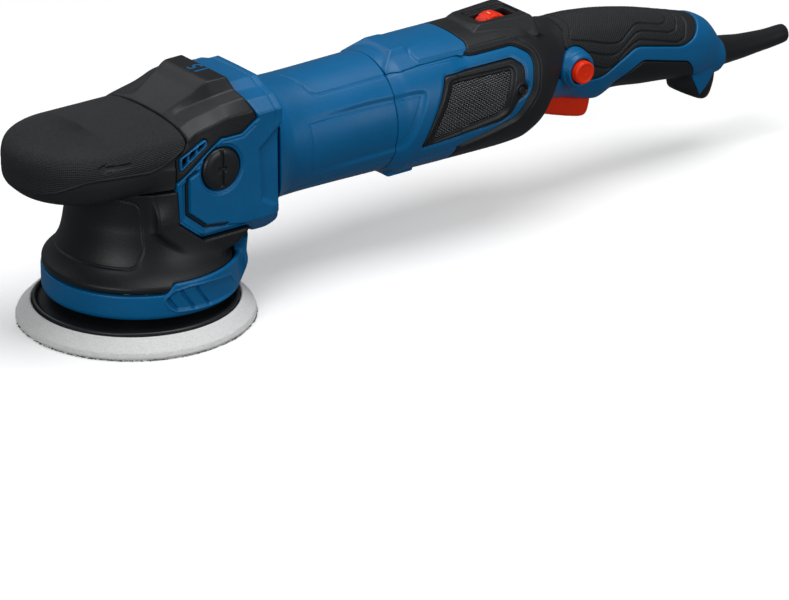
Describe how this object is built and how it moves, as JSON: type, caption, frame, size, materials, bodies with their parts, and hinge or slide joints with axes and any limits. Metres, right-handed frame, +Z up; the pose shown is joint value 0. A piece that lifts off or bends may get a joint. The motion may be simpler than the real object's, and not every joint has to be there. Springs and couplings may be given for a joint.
{
  "type": "dual action polisher",
  "caption": "Long-neck random orbital polisher with a palm grip over the head, a shroud ring, a round foam backing pad, a barrel motor housing, a rear trigger handle and a cord sleeve.",
  "frame": {"origin": "on the drive spindle's axis, at the working face of the backing pad", "axes": "+X to the rear handle along the motor axis, +Z up along the drive spindle, Y across the tool"},
  "size_m": [0.5109, 0.125, 0.1242],
  "materials": {
    "blue_plastic": "fine satin moulding",
    "black_plastic": "fine matt moulding",
    "soft_grip": "soft-touch overmould with a fine raised pattern",
    "red_plastic": "smooth",
    "foam": "white foam with a fine grain",
    "hook_fabric": "black hook fabric",
    "steel": "ground",
    "aluminium_casting": "as cast",
    "lamination_steel": "stamped sheets",
    "copper": "enamelled wire and bars",
    "brass": "formed sheet",
    "carbon": "pressed carbon",
    "nylon": "glass-filled moulding",
    "mesh_steel": "woven wire"
  },
  "bodies": {
    "housing": {"head_shell": "blue_plastic", "head_vent_near": "blue_plastic", "head_vent_far": "blue_plastic", "shroud_ring": "blue_plastic", "motor_housing_front": "blue_plastic", "motor_housing_rear": "blue_plastic", "side_panel_near": "blue_plastic", "side_panel_far": "blue_plastic", "handle_shell_near": "blue_plastic", "handle_shell_far": "blue_plastic", "head_cover": "black_plastic", "side_plug_near": "black_plastic", "side_plug_far": "black_plastic", "skirt": "black_plastic", "vent_frame_near": "black_plastic", "vent_frame_far": "black_plastic", "under_grip": "black_plastic", "palm_grip": "soft_grip", "rear_overmould": "soft_grip", "grip_sleeve": "soft_grip", "strain_relief": "soft_grip", "spindle_bearing_lower": "steel", "spindle_bearing_upper": "steel", "bearing_retainer": "steel", "motor_bearing_front": "steel", "motor_bearing_rear": "steel", "brush_spring_near": "steel", "brush_spring_far": "steel", "gearbox_housing": "aluminium_casting", "bearing_flange": "aluminium_casting", "stator_core": "lamination_steel", "field_coil_upper": "copper", "field_coil_lower": "copper", "brush_holder_near": "brass", "brush_holder_far": "brass", "brush_near": "carbon", "brush_far": "carbon", "electronics_module": "nylon", "switch_body": "nylon", "mesh_screen_near": "mesh_steel", "mesh_screen_far": "mesh_steel"},
    "drive_spindle": {"output_spindle": "steel", "ring_gear": "steel", "eccentric_counterweight": "steel", "pad_bearing": "steel"},
    "armature": {"armature_shaft": "steel", "armature_core": "lamination_steel", "winding_head_front": "copper", "winding_head_rear": "copper", "commutator": "copper", "cooling_fan": "nylon", "pinion": "steel"},
    "pad": {"pad_spindle": "steel", "backing_plate": "black_plastic", "foam_pad": "foam", "hook_face": "hook_fabric", "pad_screw": "steel"},
    "trigger": {"trigger": "red_plastic"},
    "lock_button": {"lock_button": "red_plastic"},
    "speed_dial": {"speed_dial": "red_plastic"}
  },
  "joints": [
    {"name": "spindle_spin", "type": "hinge", "parent": "housing", "child": "drive_spindle", "pos_m": [0, 0, 0.05], "axis": [0, 0, 1], "continuous": true},
    {"name": "armature_spin", "type": "hinge", "parent": "housing", "child": "armature", "pos_m": [0.1, 0, 0.076], "axis": [1, 0, 0], "continuous": true},
    {"name": "pad_spin", "type": "hinge", "parent": "drive_spindle", "child": "pad", "pos_m": [-0.00614, -0.0043, 0.02], "axis": [0, 0, 1], "continuous": true},
    {"name": "trigger_squeeze", "type": "hinge", "parent": "housing", "child": "trigger", "pos_m": [0.252, 0, 0.0606], "axis": [0, -1, 0], "range_deg": [0, 6], "stiffness_Nm_per_rad": 2, "springref_deg": -2.86},
    {"name": "lock_press", "type": "slide", "parent": "housing", "child": "lock_button", "axis": [0, 1, 0], "range_m": [0, 0.0025], "stiffness_N_per_m": 400, "springref_m": -0.001},
    {"name": "dial_turn", "type": "hinge", "parent": "housing", "child": "speed_dial", "pos_m": [0.227, 0, 0.1022], "axis": [0, 1, 0], "range_deg": [0, 250]}
  ],
  "couplings": [
    {"joint": "armature_spin", "follows": "spindle_spin", "ratio": 4}
  ]
}
